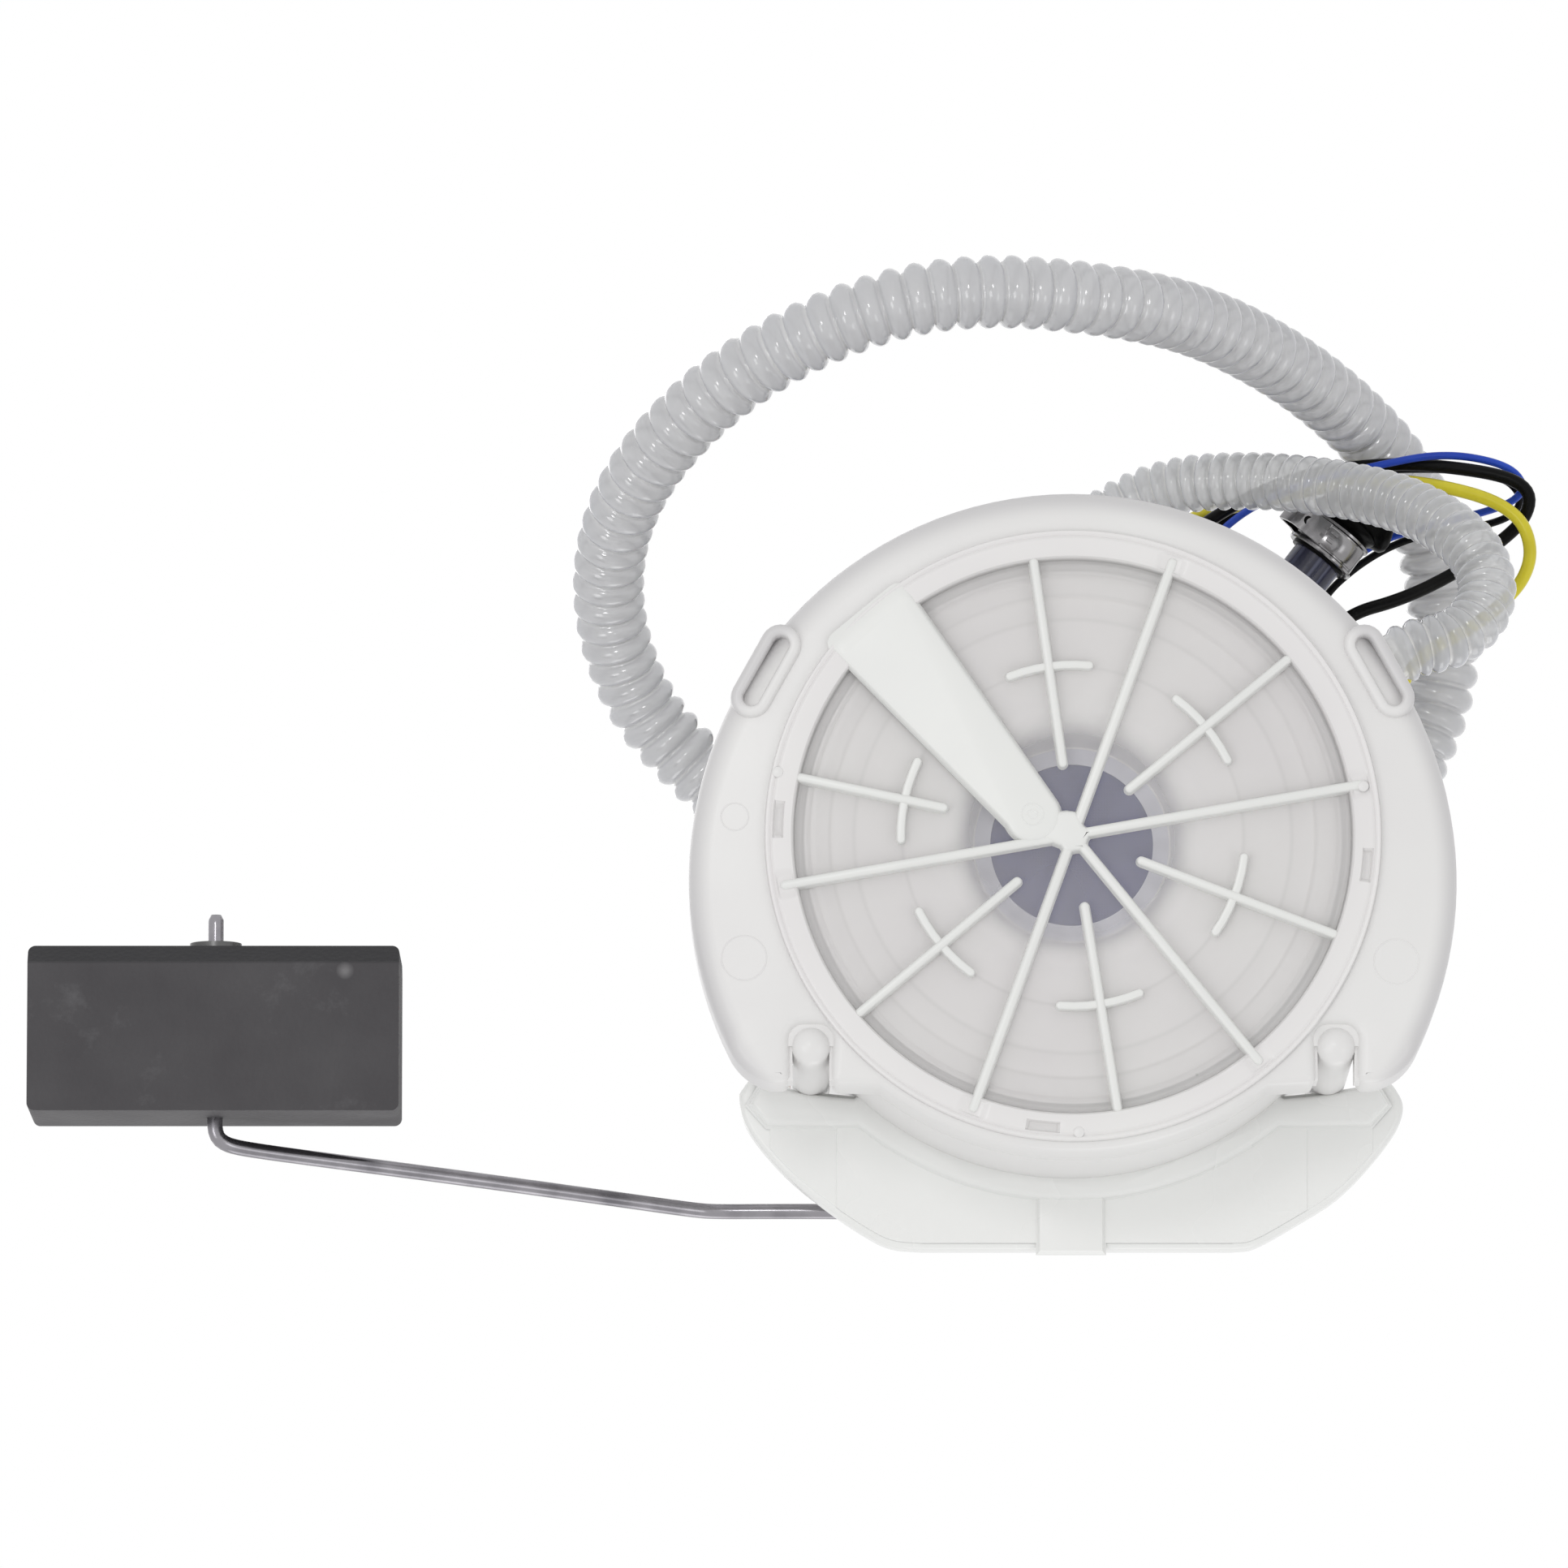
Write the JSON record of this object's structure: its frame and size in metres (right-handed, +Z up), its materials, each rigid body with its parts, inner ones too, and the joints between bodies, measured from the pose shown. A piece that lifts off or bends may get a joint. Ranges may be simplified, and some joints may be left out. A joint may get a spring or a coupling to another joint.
{
  "type": "fuel pump module",
  "caption": "In-tank fuel pump module: swirl pot with ribbed base, level sender with float arm, corrugated hoses, wires and a sprung flange.",
  "frame": {"origin": "middle of the pot's bottom plate, on the tank floor", "axes": "+Z up through the flange, -Y towards the level sender, +X towards the float"},
  "size_m": [0.2473, 0.1664, 0.1734],
  "materials": {
    "milky_pom": "satin, slightly translucent",
    "plate_pom": "satin, slightly translucent",
    "shelf_pom": "satin, slightly translucent",
    "strainer_blue": "matte",
    "cap_lilac": "satin",
    "filter_paper": "matte fibres",
    "pump_steel": "drawn can",
    "cap_black": "moulded",
    "flange_pom": "moulded, fine grain",
    "seal_rubber": "matte",
    "rod_steel": "ground",
    "spring_steel": "drawn wire",
    "pin_brass": "tinned",
    "hose_nylon": "clear corrugated tube",
    "stub_nylon": "dark blue tube",
    "elbow_rubber": "glossy",
    "clamp_steel": "rolled strip",
    "sender_pbt": "moulded",
    "resistor_ceramic": "fired ceramic with printed tracks",
    "hub_pom": "satin",
    "contact_silver": "bright",
    "arm_steel": "drawn wire",
    "float_foam": "cellular, matte",
    "clip_steel": "pressed strip",
    "blue_pvc": "extruded sleeve",
    "black_pvc": "extruded sleeve",
    "yellow_pvc": "extruded sleeve",
    "plug_pbt": "moulded"
  },
  "bodies": {
    "pot": {"pot_shell": "milky_pom", "bottom_plate": "plate_pom", "inlet_strainer": "strainer_blue", "inlet_cap": "cap_lilac", "filter_element": "filter_paper", "pump_holder": "milky_pom", "pump_can": "pump_steel", "outlet_cap": "cap_black", "pot_lid": "milky_pom", "wire_plug": "plug_pbt", "guide_springs": "spring_steel", "hose_stub": "stub_nylon", "rubber_elbow": "elbow_rubber", "ear_clamp": "clamp_steel", "sender_carrier": "shelf_pom", "sender_housing": "sender_pbt", "resistor_board": "resistor_ceramic", "big_hose": "hose_nylon", "small_hose": "hose_nylon", "blue_wire": "blue_pvc", "thin_black_wire": "black_pvc", "black_wire": "black_pvc", "yellow_wire": "yellow_pvc"},
    "flange": {"flange": "flange_pom", "flange_seal": "seal_rubber", "guide_rods": "rod_steel", "delivery_pipe": "flange_pom", "connector_socket": "flange_pom", "connector_pins": "pin_brass"},
    "arm": {"arm_hub": "hub_pom", "wiper_contacts": "contact_silver", "float_arm": "arm_steel", "float_clip": "clip_steel"},
    "float": {"float_block": "float_foam"}
  },
  "joints": [
    {"name": "flange_slide", "type": "slide", "parent": "pot", "child": "flange", "axis": [0, 0, 1], "range_m": [-0.025, 0], "stiffness_N_per_m": 800, "springref_m": 0.02, "deforming": ["guide_springs", "big_hose", "blue_wire", "thin_black_wire", "black_wire", "yellow_wire"]},
    {"name": "arm_hinge", "type": "hinge", "parent": "pot", "child": "arm", "pos_m": [0.008, -0.056, 0.058], "axis": [0, -1, 0], "range_deg": [0, 60]},
    {"name": "float_swivel", "type": "hinge", "parent": "arm", "child": "float", "pos_m": [0.138, -0.03, 0.022], "axis": [0, 1, 0], "continuous": true}
  ]
}
